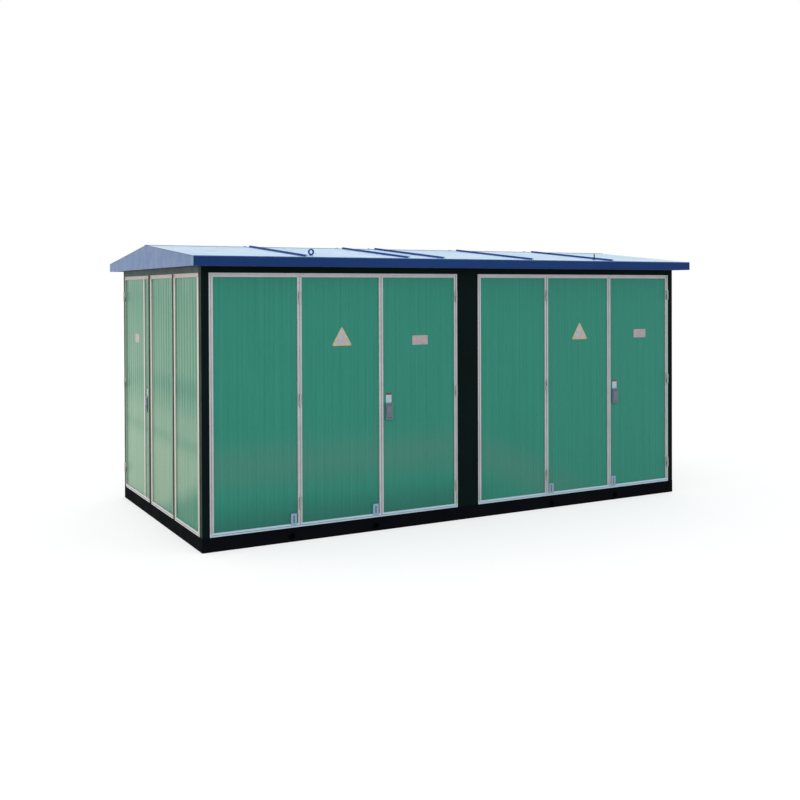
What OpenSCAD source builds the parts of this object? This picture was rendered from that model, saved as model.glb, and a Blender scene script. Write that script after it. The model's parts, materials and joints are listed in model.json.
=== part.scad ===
// Compact substation: a steel framed kiosk on a channel base, closed by leaves of
// ribbed board in aluminium rails, under a shallow gable roof of blue sheet.
// +Z is up, the long front faces -Y, and the origin is on the ground under the middle.

/* [Housing] */
// Length over the corner posts
body_l = 5250; // [4400:10:6300]
// Depth over the corner posts
body_d = 2660; // [2300:10:3200]
// Height from the ground to the underside of the roof
wall_h = 2400; // [2000:10:2900]
// Height of the channel base
base_h = 125; // [90:1:180]
// Width of the channel base's flanges
flange_w = 75; // [60:1:120]
// Thickness of the channel's web and flanges
channel_t = 7; // [5:0.5:12]
// Thickness of the floor plate
floor_t = 5; // [3:0.5:10]
// Width and depth of a corner post
post_w = 66; // [60:1:110]
// Radius of the post's outer edge
post_r = 5; // [2:0.5:12]
// Width of the pillar between the two groups of leaves
pillar_w = 234; // [150:1:320]
// Height of the header that shows under the roof
header_h = 55; // [40:1:90]
// Depth of the pillars, headers and mullions
frame_d = 66; // [60:1:110]

/* [End wall] */
// Width of the bay beside the front corner
end_near_w = 724; // [500:1:800]
// Width of the strip between the near and middle bays
end_strip_a = 50; // [30:1:90]
// Width of the middle bay
end_mid_w = 746; // [500:1:800]
// Width of the strip beside the hinged leaf
end_strip_b = 69; // [30:1:110]
// Width of the joint strip in the hinged end leaf
joint_w = 30; // [20:1:50]
// Width of the narrow board between the joint strip and the lock rail
joint_in = 116; // [95:1:200]

/* [Leaves] */
// Width of the aluminium lip round a bay
lip_w = 13; // [8:0.5:20]
// Height of the sill bar
sill_h = 11; // [8:0.5:30]
// Gap between the lip and a leaf
lip_gap = 6; // [5:0.5:10]
// Gap between two leaves
leaf_gap = 10; // [9:0.5:16]
// Width of a leaf's rails
rail_w = 16; // [15:0.5:40]
// Thickness of a hinged leaf
leaf_t = 42; // [30:1:60]
// How far lips and leaves stand proud of the steel
face_proud = 3; // [0:0.5:8]
// Thickness of the rails' front flange
flange_t = 4; // [3:0.5:8]
// How far the flange reaches past the rail's web
rebate = 13; // [13:0.5:14]
// How far a stop reaches behind a leaf's flange
lap = 6; // [4:0.5:8]
// Clear space between a closed hinged leaf's flange and its stop
stop_gap = 5.5; // [5:0.5:12]
// Thickness of the board
board_t = 24; // [15:1:28]
// How far the board lies behind the rails' face
board_recess = 12; // [4:0.5:14]
// Spacing of the flutes in the board
flute_pitch = 41; // [20:1:90]
// Width of a flute
flute_w = 4; // [2:0.5:12]
// Depth of every second flute
flute_d = 1.2; // [0.5:0.1:4]
// Depth of the shallow flutes between them
flute_shallow = 0.6; // [0.2:0.1:4]

/* [Hinges] */
// Distance of the top and bottom hinges from the leaf's ends
hinge_in = 193; // [120:1:400]
// Radius of a hinge knuckle
knuckle_r = 8; // [6:0.5:12]
// Height of one knuckle
knuckle_h = 50; // [30:1:80]
// Radius of the hinge pin
pin_r = 4; // [3:0.5:6]
// Radial play of the pin in the upper knuckle
pin_play = 0.08; // [0.03:0.01:0.1]
// Space between a knuckle and the leaf's face
knuckle_off = 5; // [5:0.5:10]
// How far the upper knuckle's wing reaches over the leaf's rail
leaf_wing = 12; // [8:0.5:14]
// How far the lower knuckle's wing reaches past the knuckle
post_wing = 5; // [3:0.5:8]

/* [Locks and bolts] */
// Width of the lock plate
lock_w = 76; // [50:1:100]
// Height of the lock plate
lock_h = 152; // [110:1:200]
// Height of the lock's middle above the ground
lock_z = 1083; // [900:1:1300]
// Width of the foot bolt's plate
bolt_w = 56; // [40:1:80]
// Height of the foot bolt's plate
bolt_h = 100; // [70:1:140]
// Space between a lock and its rail
lock_in = 24; // [4:1:30]
// How far the lock's plate stands proud of the rails
lock_proud = 4; // [2:0.5:10]
// How far the flap stands out from the lock's plate
flap_t = 6; // [3:0.5:12]
// Radius of the lock's cylinder
cylinder_r = 9; // [6:0.5:12]

/* [Roof] */
// How far the roof stands out past the ends
over_x = 110; // [60:1:200]
// How far the roof stands out past the front and rear
over_y = 148; // [80:1:250]
// Height of the fascia with the roof sheet
fascia_h = 82; // [50:1:120]
// How far the fascia and its corner plate reach round the corner, on the gable
return_w = 65; // [30:1:120]
// Height of the ridge above the underside of the roof
ridge_h = 227; // [130:1:400]
// Thickness of the fascia and gable plates
fascia_t = 20; // [8:1:40]
// Thickness of the roof sheet
sheet_t = 6; // [3:0.5:12]
// Thickness of the ceiling plate
ceiling_t = 8; // [4:0.5:30]
// Width of a standing seam
seam_w = 18; // [10:1:40]
// Height of a standing seam
seam_h = 18; // [8:1:40]
// Distance of a seam's lower end from the eave
seam_in = 10; // [5:1:80]
// Width of the ridge cap
cap_w = 120; // [80:1:240]
// Thickness of the ridge cap
cap_t = 3; // [1:0.5:5]
// Width of a whole roof sheet
sheet_w = 1010; // [700:10:1300]
// Width of the narrow make-up sheet
narrow_w = 375; // [200:5:600]
// Outer radius of a lifting eye
eye_r = 28; // [24:1:50]
// Radius of the lifting eye's hole
eye_hole_r = 16; // [12:1:18]
// Thickness of a lifting eye
eye_t = 13; // [8:1:20]
// Distance of the lifting eyes from the ends of the housing
eye_in_x = 1025; // [500:5:1800]
// Distance of the lifting eyes behind the face of the housing
eye_in_y = 60; // [0:5:400]

/* [Hidden] */
$fn = 48;
seat = 0.3;
mitre = 0.3;
// Space between a foot bolt and the rail beside it, wider on A and B than on E and F
bolt_in = 12;
bolt_near = 6;
// Space between the end leaf's lock and its rail
lock_near = 10;
// Space between the two knuckles of a hinge
knuckle_gap = 1;
// Thickness of the upper knuckle's closed end, and the space over the pin inside it
knuckle_end = 4;
pin_short = 3;
bay_z0 = base_h;
bay_z1 = wall_h - header_h;
leaf_z0 = bay_z0 + sill_h + lip_gap;
leaf_z1 = bay_z1 - lip_w - lip_gap;
leaf_h = leaf_z1 - leaf_z0;
face_y = -face_proud;
stop_y = face_y + flange_t + stop_gap;
stop_t = leaf_t - flange_t;
bay_w = (body_l - 2 * post_w - pillar_w) / 2;
bay2_x = post_w + bay_w + pillar_w;
end_far_w = body_d - 2 * post_w - end_near_w - end_strip_a - end_mid_w - end_strip_b;
end_mid_x = post_w + end_far_w + end_strip_b;
end_near_x = end_mid_x + end_mid_w + end_strip_a;
// End bays run from the rear corner to the front one: [start, width]
end_bays = [[post_w, end_far_w], [end_mid_x, end_mid_w], [end_near_x, end_near_w]];
hinge_y = face_y - knuckle_off - knuckle_r;
hinge_z = (leaf_z0 + leaf_z1) / 2;
hinge_spread = leaf_h / 2 - hinge_in;
roof_l = body_l + 2 * over_x;
roof_d = body_d + 2 * over_y;
roof_slope = (ridge_h - fascia_h) / (roof_d / 2);
// Height of a lifting eye's middle over its foot
eye_up = eye_r + 2;
// Radius of a lifting eye's foot
eye_foot_r = 16;
seam_x = [sheet_w, 2 * sheet_w, 2 * sheet_w + narrow_w, 3 * sheet_w + narrow_w, 4 * sheet_w + narrow_w];

// Width of one leaf of a bay with so many leaves
function leaf_w(w, n) = (w - 2 * (lip_w + lip_gap) - (n - 1) * leaf_gap) / n;
// Left edge of a leaf, seen from outside
function leaf_x(x, w, n, i) = x + lip_w + lip_gap + i * (leaf_w(w, n) + leaf_gap);
// Height of the roof sheet's top above the ground at a distance from the ridge
function roof_top(y) = wall_h + ridge_h - abs(y) * roof_slope;

// Placers: local x runs to the right as seen from outside, local y runs inwards
module on_front() { translate([-body_l / 2, -body_d / 2, 0]) children(); }
module on_rear() { rotate([0, 0, 180]) on_front() children(); }
module on_left() { translate([-body_l / 2, body_d / 2, 0]) rotate([0, 0, -90]) children(); }
module on_right() { rotate([0, 0, 180]) on_left() children(); }

// A flat outline in x and z, thick along y from y0
module upright(y0, t) {
    translate([0, y0 + t, 0]) rotate([90, 0, 0]) linear_extrude(t) children();
}

// Four mitred bars round a rectangle, with a hairline at each mitre
module mitred(x, z, w, h, side, top, bottom, y0, t) {
    g = mitre;
    upright(y0, t) {
        polygon([[x, z + g], [x + side, z + bottom + g], [x + side, z + h - top - g], [x, z + h - g]]);
        polygon([[x + w, z + g], [x + w, z + h - g], [x + w - side, z + h - top - g],
            [x + w - side, z + bottom + g]]);
        polygon([[x + g, z], [x + w - g, z], [x + w - side - g, z + bottom], [x + side + g, z + bottom]]);
        polygon([[x + g, z + h], [x + side + g, z + h - top], [x + w - side - g, z + h - top],
            [x + w - g, z + h]]);
    }
}

// The lips and sill round one bay
module surround(x, w) {
    mitred(x + seat, bay_z0 + seat, w - 2 * seat, bay_z1 - bay_z0 - 2 * seat,
        lip_w - seat, lip_w - seat, sill_h - seat, face_y, leaf_t + stop_gap);
}

// Strips inside the lips that the leaves' flanges close against
module stops(x, w) {
    in = lip_w + seat;
    side = lip_gap + lap - seat;
    mitred(x + in, bay_z0 + sill_h + seat, w - 2 * in, bay_z1 - bay_z0 - sill_h - in - seat,
        side, side, side, stop_y, stop_t);
}

// Mullion behind the gap to the left of leaf i, standing between the sill's and the head's stops
module mullion(x, w, n, i) {
    z0 = leaf_z0 + lap + seat;
    half = leaf_gap / 2 + lap;
    translate([leaf_x(x, w, n, i) - leaf_gap / 2 - half, stop_y, z0])
        cube([2 * half, stop_t, leaf_z1 - lap - seat - z0]);
}

// Rails of one leaf, each a flange in front of a web; the flange of a fixed one reaches back to the stops
module leaf_rails(x, w, fixed) {
    front = fixed ? flange_t + stop_gap - seat : flange_t;
    web = rail_w - rebate;
    mitred(x, leaf_z0, w, leaf_h, rail_w, rail_w, rail_w, face_y, front);
    mitred(x + rebate, leaf_z0 + rebate, w - 2 * rebate, leaf_h - 2 * rebate, web, web, web, face_y, leaf_t);
}

// Outline of a fluted board, seen from above, with deep and shallow flutes in turn
module fluted(w, t) {
    n = floor((w - flute_pitch) / flute_pitch);
    x0 = (w - (n - 1) * flute_pitch) / 2;
    flutes = [for (i = [0 : n - 1])
        let (c = x0 + i * flute_pitch, d = i % 2 == 0 ? flute_d : flute_shallow)
            each [[c - flute_w / 2, 0], [c - flute_w / 4, d], [c + flute_w / 4, d], [c + flute_w / 2, 0]]];
    polygon(concat([[0, t], [0, 0]], flutes, [[w, 0], [w, t]]));
}

// Board between two upright edges of a leaf's rails
module board(x, w) {
    z = rail_w + seat;
    translate([x + seat, face_y + board_recess, leaf_z0 + z])
        linear_extrude(leaf_h - 2 * z) fluted(w - 2 * seat, board_t);
}

module leaf_board(x, w) {
    board(x + rail_w, w - 2 * rail_w);
}

// One knuckle with a wing on the side dir, reaching back to just short of the leaf's face
module knuckle(dir, reach) {
    far = knuckle_r + knuckle_off - seat;
    linear_extrude(knuckle_h) {
        circle(r = knuckle_r);
        polygon([
            [dir, 0], [dir * knuckle_r, 0], [dir * knuckle_r, knuckle_r],
            [dir * reach, knuckle_r], [dir * reach, far], [dir, far]]);
    }
}

// Upper knuckle on the leaf, which lies on the side dir of the pin
module moving_knuckle(x, dir) {
    for (k = [-1 : 1]) translate([x, hinge_y, hinge_z + k * hinge_spread]) difference() {
        knuckle(dir, leaf_gap / 2 + leaf_wing);
        translate([0, 0, -1]) cylinder(r = pin_r + pin_play, h = knuckle_h - knuckle_end + 1);
    }
}

// Lower knuckle with its pin, its wing on the side away from the leaf
module fixed_knuckle(x, dir) {
    for (k = [-1 : 1]) translate([x, hinge_y, hinge_z + k * hinge_spread - knuckle_h - knuckle_gap]) {
        knuckle(-dir, knuckle_r + post_wing);
        cylinder(r = pin_r, h = 2 * knuckle_h + knuckle_gap - knuckle_end - pin_short);
    }
}

// Rectangle with its corners cut off
module cut_square(w, h, c) {
    polygon([[c, 0], [w - c, 0], [w, c], [w, h - c], [w - c, h], [c, h], [0, h - c], [0, c]]);
}

// Foot bolt over the leaf's bottom rail: a plate on a case that stands on the board, and a stud in its slot
module foot_bolt(x) {
    plate_t = 4;
    corner = 3;
    slot_w = 14;
    slot_in = 18;
    slot_d = 3;
    stud_r = 5;
    stud_l = 11;
    up = 5;
    over_rail = rail_w - up + seat;
    translate([x, face_y - seat, leaf_z0 + up]) {
        difference() {
            union() {
                upright(-plate_t, plate_t) cut_square(bolt_w, bolt_h, corner);
                translate([0, 0, over_rail]) upright(-1, board_recess + 1) square([bolt_w, bolt_h - over_rail]);
            }
            translate([(bolt_w - slot_w) / 2, -plate_t - 1, slot_in])
                cube([slot_w, slot_d + 4, bolt_h - 2 * slot_in]);
        }
        translate([bolt_w / 2, slot_d, bolt_h * 0.6]) rotate([90, 0, 0]) cylinder(r = stud_r, h = stud_l);
    }
}

// Lock: a case standing on the board, with a slot over its flap, a cylinder and a drip lip
module lock(x) {
    back = board_recess - seat;
    face = -lock_proud;
    corner = 4;
    flap_in = 9;
    flap_low = 24;
    flap_high = 26;
    flap_w = lock_w - 2 * flap_in;
    flap_h = lock_h - flap_low - flap_high;
    slot_d = 5;
    slot_up = 3;
    slot_h = 8;
    groove_z = 17;
    groove_h = 4;
    drip_z = 2;
    drip_h = 5;
    drip_out = 3;
    cylinder_out = 3;
    translate([x, face_y, lock_z - lock_h / 2]) {
        difference() {
            upright(face, back - face) cut_square(lock_w, lock_h, corner);
            translate([flap_in, face - 1, flap_low + flap_h + slot_up]) cube([flap_w, slot_d + 1, slot_h]);
            translate([flap_in, face - 1, groove_z]) cube([flap_w, slot_d, groove_h]);
        }
        translate([flap_in, 0, flap_low]) upright(face - flap_t, flap_t + 1) cut_square(flap_w, flap_h, corner - 1);
        translate([0, 0, drip_z]) upright(face - drip_out, drip_out + 1) square([lock_w, drip_h]);
        translate([lock_w / 2, face - flap_t + 1, flap_low + flap_h * 0.3])
            rotate([90, 0, 0]) cylinder(r = cylinder_r, h = cylinder_out + 1);
    }
}

// Channel beam along local x, its web outside and its ends mitred
module channel(l) {
    g = mitre;
    intersection() {
        rotate([90, 0, 90]) linear_extrude(l) polygon([
            [0, 0], [flange_w, 0], [flange_w, channel_t], [channel_t, channel_t],
            [channel_t, base_h - channel_t], [flange_w, base_h - channel_t], [flange_w, base_h], [0, base_h]]);
        linear_extrude(base_h) polygon([
            [g, 0], [l - g, 0], [l - g - flange_w, flange_w], [g + flange_w, flange_w]]);
    }
}

module base_frame() {
    color([0.06, 0.08, 0.09]) {
        on_front() channel(body_l);
        on_rear() channel(body_l);
        on_left() channel(body_d);
        on_right() channel(body_d);
    }
}

// Plate on the base's flanges, notched round the corner posts
module floor_plate() {
    inset = frame_d + seat;
    color([0.3, 0.31, 0.32]) translate([0, 0, base_h]) linear_extrude(floor_t) difference() {
        square([body_l - 2 * inset, body_d - 2 * inset], center = true);
        for (sx = [-1, 1], sy = [-1, 1]) translate([sx * body_l / 2, sy * body_d / 2])
            square(2 * (post_w + seat), center = true);
    }
}

// Post with its outer corner at the origin, rounded there
module post() {
    linear_extrude(wall_h - base_h) {
        translate([post_r, 0]) square([post_w - post_r, post_w]);
        translate([0, post_r]) square([post_w, post_w - post_r]);
        translate([post_r, post_r]) circle(r = post_r);
    }
}

module corner_posts() {
    color([0.1, 0.12, 0.12]) for (a = [0, 180]) rotate([0, 0, a]) {
        translate([-body_l / 2, -body_d / 2, base_h]) post();
        translate([body_l / 2, -body_d / 2, base_h]) mirror([1, 0, 0]) post();
    }
}

module pillar() {
    translate([post_w + bay_w, 0, base_h]) cube([pillar_w, frame_d, bay_z1 - base_h]);
}

module header(l) {
    translate([post_w + seat, 0, bay_z1]) cube([l - 2 * post_w - 2 * seat, frame_d, header_h]);
}

module front_pillar() { color([0.06, 0.08, 0.09]) on_front() pillar(); }
module rear_pillar() { color([0.06, 0.08, 0.09]) on_rear() pillar(); }

module headers() {
    color([0.06, 0.08, 0.09]) {
        on_front() header(body_l);
        on_rear() header(body_l);
        on_left() header(body_d);
        on_right() header(body_d);
    }
}

module strips() {
    for (s = [[post_w + end_far_w, end_strip_b], [end_near_x - end_strip_a, end_strip_a]])
        translate([s[0], 0, base_h]) cube([s[1], frame_d, bay_z1 - base_h]);
}

module end_strips() {
    color([0.12, 0.13, 0.13]) {
        on_left() strips();
        on_right() strips();
    }
}

module long_surrounds() {
    surround(post_w, bay_w);
    surround(bay2_x, bay_w);
}

module front_surrounds() { color([0.72, 0.74, 0.76]) on_front() long_surrounds(); }
module rear_surrounds() { color([0.72, 0.74, 0.76]) on_rear() long_surrounds(); }

module end_surrounds() {
    color([0.72, 0.74, 0.76]) {
        on_left() for (b = end_bays) surround(b[0], b[1]);
        on_right() for (b = end_bays) surround(b[0], b[1]);
    }
}

module long_stops() {
    for (x = [post_w, bay2_x]) {
        stops(x, bay_w);
        for (i = [1, 2]) mullion(x, bay_w, 3, i);
    }
}

module front_stops() { color([0.72, 0.74, 0.76]) on_front() long_stops(); }
module rear_stops() { color([0.72, 0.74, 0.76]) on_rear() long_stops(); }

module end_stops() {
    color([0.72, 0.74, 0.76]) {
        on_left() for (b = end_bays) stops(b[0], b[1]);
        on_right() for (b = end_bays) stops(b[0], b[1]);
    }
}

// Rails and board of leaf i in the bay that starts at x
module bay_rails(x, w, n, i, fixed) {
    color([0.72, 0.74, 0.76]) leaf_rails(leaf_x(x, w, n, i), leaf_w(w, n), fixed);
}

module bay_board(x, w, n, i) {
    color([0.22, 0.53, 0.45]) leaf_board(leaf_x(x, w, n, i), leaf_w(w, n));
}

// Middle of the gap to the left of leaf i, where its pins stand
function pin_left(x, w, n, i) = leaf_x(x, w, n, i) - (i > 0 ? leaf_gap : lip_gap) / 2;
// Middle of the gap to the right of leaf i
function pin_right(x, w, n, i) = leaf_x(x, w, n, i) + leaf_w(w, n) + (i < n - 1 ? leaf_gap : lip_gap) / 2;
lw = leaf_w(bay_w, 3);
la = leaf_x(post_w, bay_w, 3, 0);
lb = leaf_x(post_w, bay_w, 3, 1);
lc = leaf_x(post_w, bay_w, 3, 2);
le = leaf_x(bay2_x, bay_w, 3, 1);
lf = leaf_x(bay2_x, bay_w, 3, 2);
pin_b = pin_left(post_w, bay_w, 3, 1);
pin_c = pin_right(post_w, bay_w, 3, 2);
pin_e = pin_left(bay2_x, bay_w, 3, 1);
pin_f = pin_right(bay2_x, bay_w, 3, 2);
pin_end = pin_left(post_w, end_far_w, 1, 0);
l_end = leaf_x(post_w, end_far_w, 1, 0);
joint_x = l_end + leaf_w(end_far_w, 1) - rail_w - joint_in - joint_w;

module panel_a_frame() { on_front() bay_rails(post_w, bay_w, 3, 0, true); }
module panel_a_board() { on_front() bay_board(post_w, bay_w, 3, 0); }
module panel_d_frame() { on_front() bay_rails(bay2_x, bay_w, 3, 0, true); }
module panel_d_board() { on_front() bay_board(bay2_x, bay_w, 3, 0); }
module panel_a_bolt() { color([0.7, 0.71, 0.73]) on_front() foot_bolt(la + lw - rail_w - bolt_in - bolt_w); }

module door_b_frame() { on_front() bay_rails(post_w, bay_w, 3, 1, false); }
module door_b_board() { on_front() bay_board(post_w, bay_w, 3, 1); }
module door_b_fittings() { color([0.12, 0.13, 0.14]) on_front() moving_knuckle(pin_b, 1); }
module door_b_bolt() { color([0.7, 0.71, 0.73]) on_front() foot_bolt(lb + lw - rail_w - bolt_in - bolt_w); }

module door_c_frame() { on_front() bay_rails(post_w, bay_w, 3, 2, false); }
module door_c_board() { on_front() bay_board(post_w, bay_w, 3, 2); }
module door_c_fittings() { color([0.12, 0.13, 0.14]) on_front() moving_knuckle(pin_c, -1); }
module door_c_lock() { color([0.5, 0.52, 0.53]) on_front() lock(lc + rail_w + lock_in); }

module door_e_frame() { on_front() bay_rails(bay2_x, bay_w, 3, 1, false); }
module door_e_board() { on_front() bay_board(bay2_x, bay_w, 3, 1); }
module door_e_fittings() { color([0.12, 0.13, 0.14]) on_front() moving_knuckle(pin_e, 1); }
module door_e_bolt() { color([0.7, 0.71, 0.73]) on_front() foot_bolt(le + rail_w + bolt_near); }

module door_f_frame() { on_front() bay_rails(bay2_x, bay_w, 3, 2, false); }
module door_f_board() { on_front() bay_board(bay2_x, bay_w, 3, 2); }
module door_f_fittings() { color([0.12, 0.13, 0.14]) on_front() moving_knuckle(pin_f, -1); }
module door_f_bolt() { color([0.7, 0.71, 0.73]) on_front() foot_bolt(lf + rail_w + bolt_near); }
module door_f_lock() { color([0.5, 0.52, 0.53]) on_front() lock(lf + rail_w + lock_in); }

// Rails of the hinged end leaf, with a joint strip where its two boards meet
module end_door_frame() {
    z = rail_w + seat;
    on_left() bay_rails(post_w, end_far_w, 1, 0, false);
    color([0.72, 0.74, 0.76]) on_left() translate([joint_x, face_y, leaf_z0 + z])
        cube([joint_w, leaf_t, leaf_h - 2 * z]);
}

module end_door_board() {
    color([0.22, 0.53, 0.45]) on_left() {
        board(l_end + rail_w, joint_x - l_end - rail_w);
        board(joint_x + joint_w, joint_in);
    }
}
module end_door_fittings() { color([0.12, 0.13, 0.14]) on_left() moving_knuckle(pin_end, 1); }
module end_door_lock() {
    color([0.5, 0.52, 0.53]) on_left()
        lock(joint_x + joint_w + joint_in - lock_near - lock_w);
}

module rear_frames() {
    on_rear() for (x = [post_w, bay2_x], i = [0 : 2]) bay_rails(x, bay_w, 3, i, true);
}

module rear_boards() {
    on_rear() for (x = [post_w, bay2_x], i = [0 : 2]) bay_board(x, bay_w, 3, i);
}

module end_frames() {
    on_left() for (k = [1, 2]) bay_rails(end_bays[k][0], end_bays[k][1], 1, 0, true);
    on_right() for (b = end_bays) bay_rails(b[0], b[1], 1, 0, true);
}

module end_boards() {
    on_left() for (k = [1, 2]) bay_board(end_bays[k][0], end_bays[k][1], 1, 0);
    on_right() for (b = end_bays) bay_board(b[0], b[1], 1, 0);
}

module hinge_pins() {
    color([0.12, 0.13, 0.14]) {
        on_front() {
            fixed_knuckle(pin_b, 1);
            fixed_knuckle(pin_c, -1);
            fixed_knuckle(pin_e, 1);
            fixed_knuckle(pin_f, -1);
        }
        on_left() fixed_knuckle(pin_end, 1);
    }
}

module ceiling() {
    color([0.55, 0.58, 0.6]) translate([-roof_l / 2 + fascia_t + seat, -roof_d / 2 + fascia_t + seat, wall_h])
        cube([roof_l - 2 * fascia_t - 2 * seat, roof_d - 2 * fascia_t - 2 * seat, ceiling_t]);
}

// Section of a fascia or a corner plate, between two distances from the eave, its top cut to the slope
module fascia_section(near, far) {
    top = sheet_t + seat;
    polygon([
        [-roof_d / 2 + near, wall_h], [-roof_d / 2 + far, wall_h],
        [-roof_d / 2 + far, roof_top(roof_d / 2 - far) - top],
        [-roof_d / 2 + near, roof_top(roof_d / 2 - near) - top]]);
}

// Fascia of one long side, with a corner plate behind each end that carries it on to the gable
module fascia() {
    rotate([90, 0, 90]) {
        linear_extrude(roof_l) fascia_section(0, fascia_t);
        for (x = [0, roof_l - fascia_t])
            translate([0, 0, x]) linear_extrude(fascia_t) fascia_section(fascia_t + seat, return_w);
    }
}

module fascias() {
    color([0.12, 0.23, 0.46]) for (a = [0, 180])
        rotate([0, 0, a]) translate([-roof_l / 2, 0, 0]) fascia();
}

// Two plates a side, which meet under the ridge
module gable_ends() {
    half = roof_d / 2 - return_w - seat;
    joint = 0.5;
    top = sheet_t + seat;
    color([0.2, 0.32, 0.55]) for (a = [0, 180])
        rotate([0, 0, a]) translate([-roof_l / 2, 0, 0]) rotate([90, 0, 90]) linear_extrude(fascia_t)
            for (s = [-1, 1]) polygon([
                [s * joint, wall_h], [s * half, wall_h], [s * half, roof_top(half) - top],
                [s * joint, roof_top(joint) - top]]);
}

// One slope of sheet, from the eave to the ridge
module slope_sheet() {
    in = seat / 2;
    translate([-roof_l / 2, 0, 0]) rotate([90, 0, 90]) linear_extrude(roof_l) polygon([
        [-roof_d / 2, roof_top(roof_d / 2) - sheet_t], [-in, roof_top(in) - sheet_t],
        [-in, roof_top(in)], [-roof_d / 2, roof_top(roof_d / 2)]]);
}

module roof_front() { color([0.55, 0.68, 0.84]) slope_sheet(); }
module roof_rear() { color([0.55, 0.68, 0.84]) rotate([0, 0, 180]) slope_sheet(); }

module slope_seams() {
    low = roof_d / 2 - seam_in;
    high = cap_w / 2 + seam_in;
    for (x = seam_x) translate([x - roof_l / 2 - seam_w / 2, 0, 0]) rotate([90, 0, 90])
        linear_extrude(seam_w) polygon([
            [-low, roof_top(low) + seat], [-high, roof_top(high) + seat],
            [-high, roof_top(high) + seam_h], [-low, roof_top(low) + seam_h]]);
}

module roof_seams() {
    color([0.1, 0.2, 0.45]) {
        slope_seams();
        mirror([0, 1, 0]) slope_seams();
    }
}

module ridge_cap() {
    half = cap_w / 2;
    top = seat + cap_t;
    color([0.3, 0.42, 0.65]) translate([-roof_l / 2, 0, 0]) rotate([90, 0, 90]) linear_extrude(roof_l)
        polygon([
            [-half, roof_top(half) + seat], [0, roof_top(0) + seat], [half, roof_top(half) + seat],
            [half, roof_top(half) + top], [0, roof_top(0) + top], [-half, roof_top(half) + top]]);
}

// Eye bolt on its foot, its ring turned by a
module eye(a) {
    shank_r = 9;
    shank_h = 12;
    foot_h = 5;
    rotate([0, 0, a]) {
        translate([0, eye_t / 2, eye_up]) rotate([90, 0, 0]) difference() {
            cylinder(r = eye_r, h = eye_t);
            translate([0, 0, -1]) cylinder(r = eye_hole_r, h = eye_t + 2);
        }
        cylinder(r = shank_r, h = shank_h);
    }
    cylinder(r = eye_foot_r, h = foot_h);
}

module lifting_eyes() {
    ex = body_l / 2 - eye_in_x;
    ey = body_d / 2 - eye_in_y;
    z = roof_top(ey) + eye_foot_r * roof_slope + seat;
    color([0.15, 0.22, 0.4]) {
        translate([-ex, -ey, z]) eye(0);
        translate([ex, -ey, z]) eye(50);
        translate([-ex, ey, z]) eye(0);
        translate([ex, ey, z]) eye(0);
    }
}

base_frame();
floor_plate();
corner_posts();
front_pillar();
rear_pillar();
headers();
end_strips();
front_surrounds();
rear_surrounds();
end_surrounds();
front_stops();
rear_stops();
end_stops();
panel_a_frame();
panel_a_board();
panel_a_bolt();
panel_d_frame();
panel_d_board();
door_b_frame();
door_b_board();
door_b_fittings();
door_b_bolt();
door_c_frame();
door_c_board();
door_c_fittings();
door_c_lock();
door_e_frame();
door_e_board();
door_e_fittings();
door_e_bolt();
door_f_frame();
door_f_board();
door_f_fittings();
door_f_bolt();
door_f_lock();
end_door_frame();
end_door_board();
end_door_fittings();
end_door_lock();
rear_frames();
rear_boards();
end_frames();
end_boards();
hinge_pins();
ceiling();
fascias();
gable_ends();
roof_front();
roof_rear();
roof_seams();
ridge_cap();
lifting_eyes();
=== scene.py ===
# Looks of a compact substation kiosk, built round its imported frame, in metres
import json
import math
import bmesh
import bpy
from mathutils import Matrix, Vector


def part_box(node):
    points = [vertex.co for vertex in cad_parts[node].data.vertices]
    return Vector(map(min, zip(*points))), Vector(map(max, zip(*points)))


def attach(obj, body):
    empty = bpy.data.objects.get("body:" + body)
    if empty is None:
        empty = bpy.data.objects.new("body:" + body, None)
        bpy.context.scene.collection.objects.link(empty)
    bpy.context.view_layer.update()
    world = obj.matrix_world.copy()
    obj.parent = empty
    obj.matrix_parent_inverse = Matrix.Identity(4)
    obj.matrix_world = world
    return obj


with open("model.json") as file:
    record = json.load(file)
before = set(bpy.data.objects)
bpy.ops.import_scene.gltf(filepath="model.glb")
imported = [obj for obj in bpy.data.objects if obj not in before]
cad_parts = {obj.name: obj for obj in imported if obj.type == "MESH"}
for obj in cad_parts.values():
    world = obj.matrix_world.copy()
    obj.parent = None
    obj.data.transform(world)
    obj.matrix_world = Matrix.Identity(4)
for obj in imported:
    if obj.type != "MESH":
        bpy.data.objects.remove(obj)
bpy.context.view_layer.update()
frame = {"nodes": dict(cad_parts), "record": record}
scene = bpy.context.scene
scene.view_settings.view_transform = "Standard"
print("frame loaded:", len(frame["nodes"]), "nodes")


# Helpers for shader trees

# Adds a node, sets its options, and links or sets its inputs
def place(tree, kind, inputs=None, **options):
    made = tree.nodes.new("ShaderNode" + kind)
    for option, value in options.items():
        setattr(made, option, value)
    for socket, value in (inputs or {}).items():
        if isinstance(value, bpy.types.NodeSocket):
            tree.links.new(value, made.inputs[socket])
        else:
            made.inputs[socket].default_value = value
    return made


def calc(tree, operation, *values):
    return place(tree, "Math", dict(enumerate(values)), operation=operation).outputs[0]


# Smooth step of a value from one level to another
def fade(tree, value, low, high, bottom=0.0, top=1.0):
    inputs = {"Value": value, "From Min": low, "From Max": high, "To Min": bottom, "To Max": top}
    return place(tree, "MapRange", inputs, interpolation_type="SMOOTHSTEP").outputs["Result"]


def blendColour(tree, factor, first, second, kind="MIX"):
    made = place(tree, "Mix", {0: factor, 6: first, 7: second}, data_type="RGBA", blend_type=kind)
    return made.outputs[2]


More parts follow.
